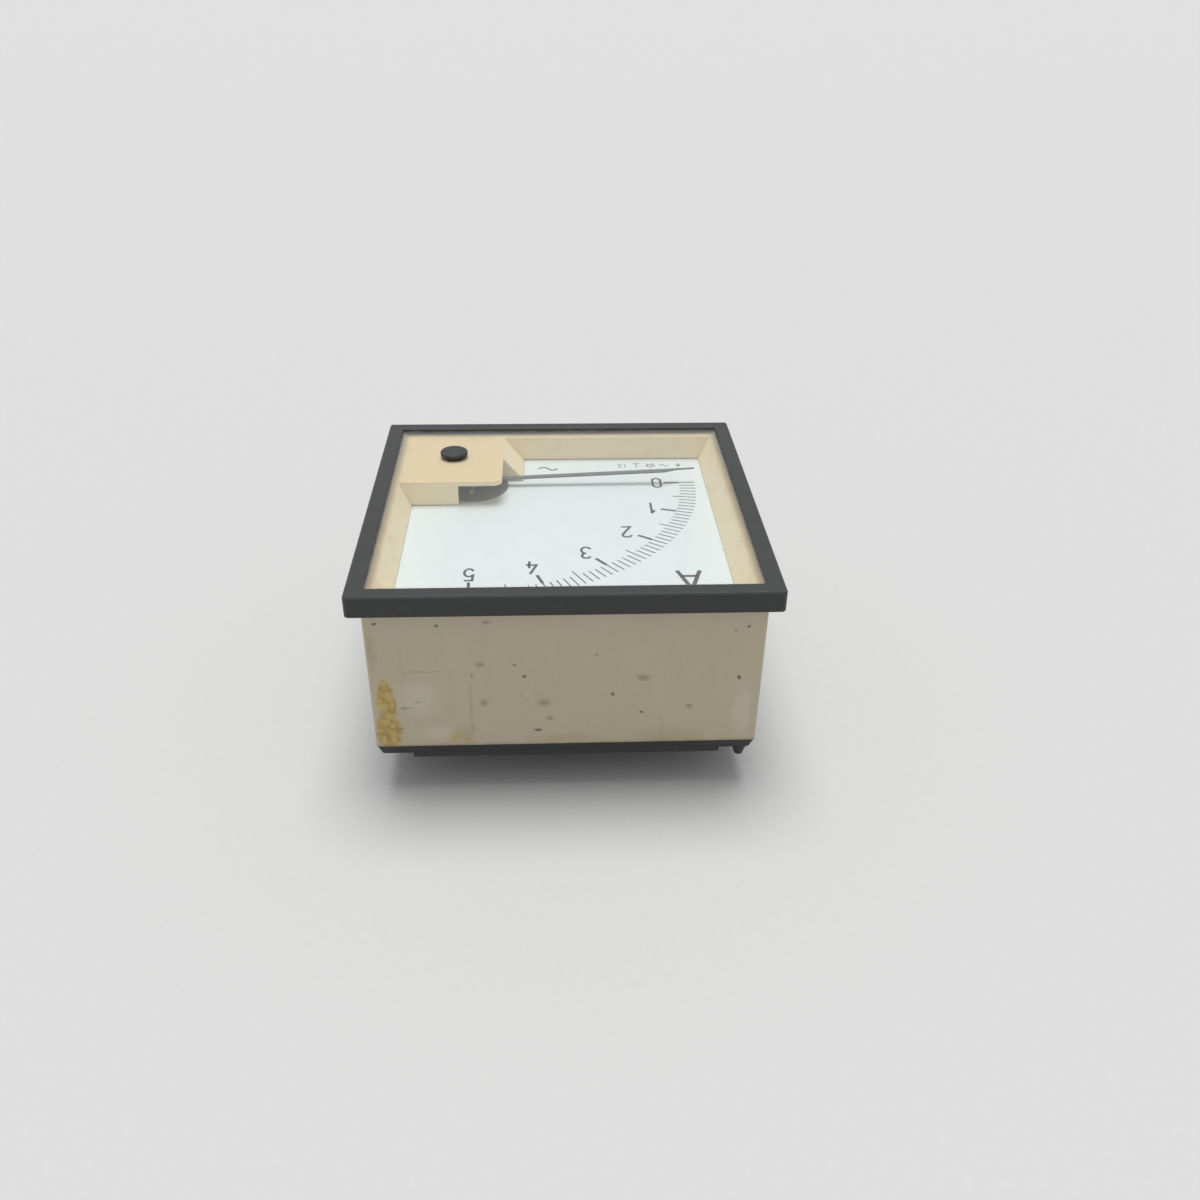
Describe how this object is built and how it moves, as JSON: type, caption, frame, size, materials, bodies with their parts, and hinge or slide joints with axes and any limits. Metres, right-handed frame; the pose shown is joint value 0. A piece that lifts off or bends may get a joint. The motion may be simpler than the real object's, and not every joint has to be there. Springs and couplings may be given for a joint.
{
  "type": "analog panel meter",
  "caption": "Square flush-mounting moving-iron ammeter with a quadrant scale, corner pivot, zero adjuster and stud terminals.",
  "frame": {"origin": "on the plane of the four stud tips, under the middle of the square bezel", "axes": "+Z out of the dial, +Y towards the top of the dial, +X to the dial's right"},
  "size_m": [0.096, 0.096, 0.0563],
  "materials": {
    "black_plastic": "fine satin, slightly worn",
    "ivory_plastic": "aged ivory, satin",
    "window_glass": "clear",
    "seal_rubber": "matt",
    "dial_white": "matt white paint",
    "scale_ink": "printed black",
    "grey_plastic": "matt dark grey",
    "brown_laminate": "laminate board",
    "zinc_steel": "zinc plated",
    "brass": "bare, slightly dull",
    "tinned_brass": "tinned",
    "copper_wire": "enamelled copper",
    "soft_iron": "bare",
    "bare_aluminium": "bare sheet",
    "pointer_paint": "dark paint",
    "spring_bronze": "phosphor bronze"
  },
  "bodies": {
    "case": {"bezel": "black_plastic", "window_glass": "window_glass", "window_seal": "seal_rubber", "housing": "ivory_plastic", "rear_base": "black_plastic", "base_screws": "zinc_steel", "dial_plate": "dial_white", "scale_marks": "scale_ink", "dial_screws": "zinc_steel", "movement_frame": "grey_plastic", "frame_screws": "zinc_steel", "damping_cover": "brown_laminate", "front_bridge": "grey_plastic", "bridge_screws": "zinc_steel", "front_jewel_screw": "brass", "rear_jewel_screw": "brass", "coil_bobbin": "grey_plastic", "coil_winding": "copper_wire", "bobbin_screws": "zinc_steel", "coil_leads": "copper_wire", "fixed_iron_vane": "soft_iron", "terminal_studs": "brass", "terminal_tags": "tinned_brass", "terminal_nuts": "brass", "terminal_washers": "brass", "fixing_studs": "zinc_steel"},
    "movement": {"spindle": "soft_iron", "moving_iron_vane": "soft_iron", "damping_vane": "bare_aluminium", "pointer_hub": "brass", "balance_weights": "brass", "pointer": "pointer_paint", "spring_collet": "brass", "hairspring": "spring_bronze"},
    "zero_lever": {"zero_lever": "brass"},
    "adjuster": {"zero_adjuster": "black_plastic", "adjuster_clip": "zinc_steel"}
  },
  "joints": [
    {"name": "pointer_swing", "type": "hinge", "parent": "case", "child": "movement", "pos_m": [0.024, -0.024, 0.0478], "axis": [0, 0, 1], "range_deg": [-92, 0], "stiffness_Nm_per_rad": 0.0001, "deforming": ["hairspring"]},
    {"name": "adjuster_turn", "type": "hinge", "parent": "case", "child": "adjuster", "pos_m": [0.02883, -0.0282, 0.055], "axis": [0, 0, 1], "range_deg": [-60, 60]},
    {"name": "zero_lever_turn", "type": "hinge", "parent": "case", "child": "zero_lever", "pos_m": [0.024, -0.024, 0.0507], "axis": [0, 0, 1], "range_deg": [-8, 8], "deforming": ["hairspring"]}
  ],
  "couplings": [
    {"joint": "zero_lever_turn", "follows": "adjuster_turn", "ratio": 0.13}
  ]
}
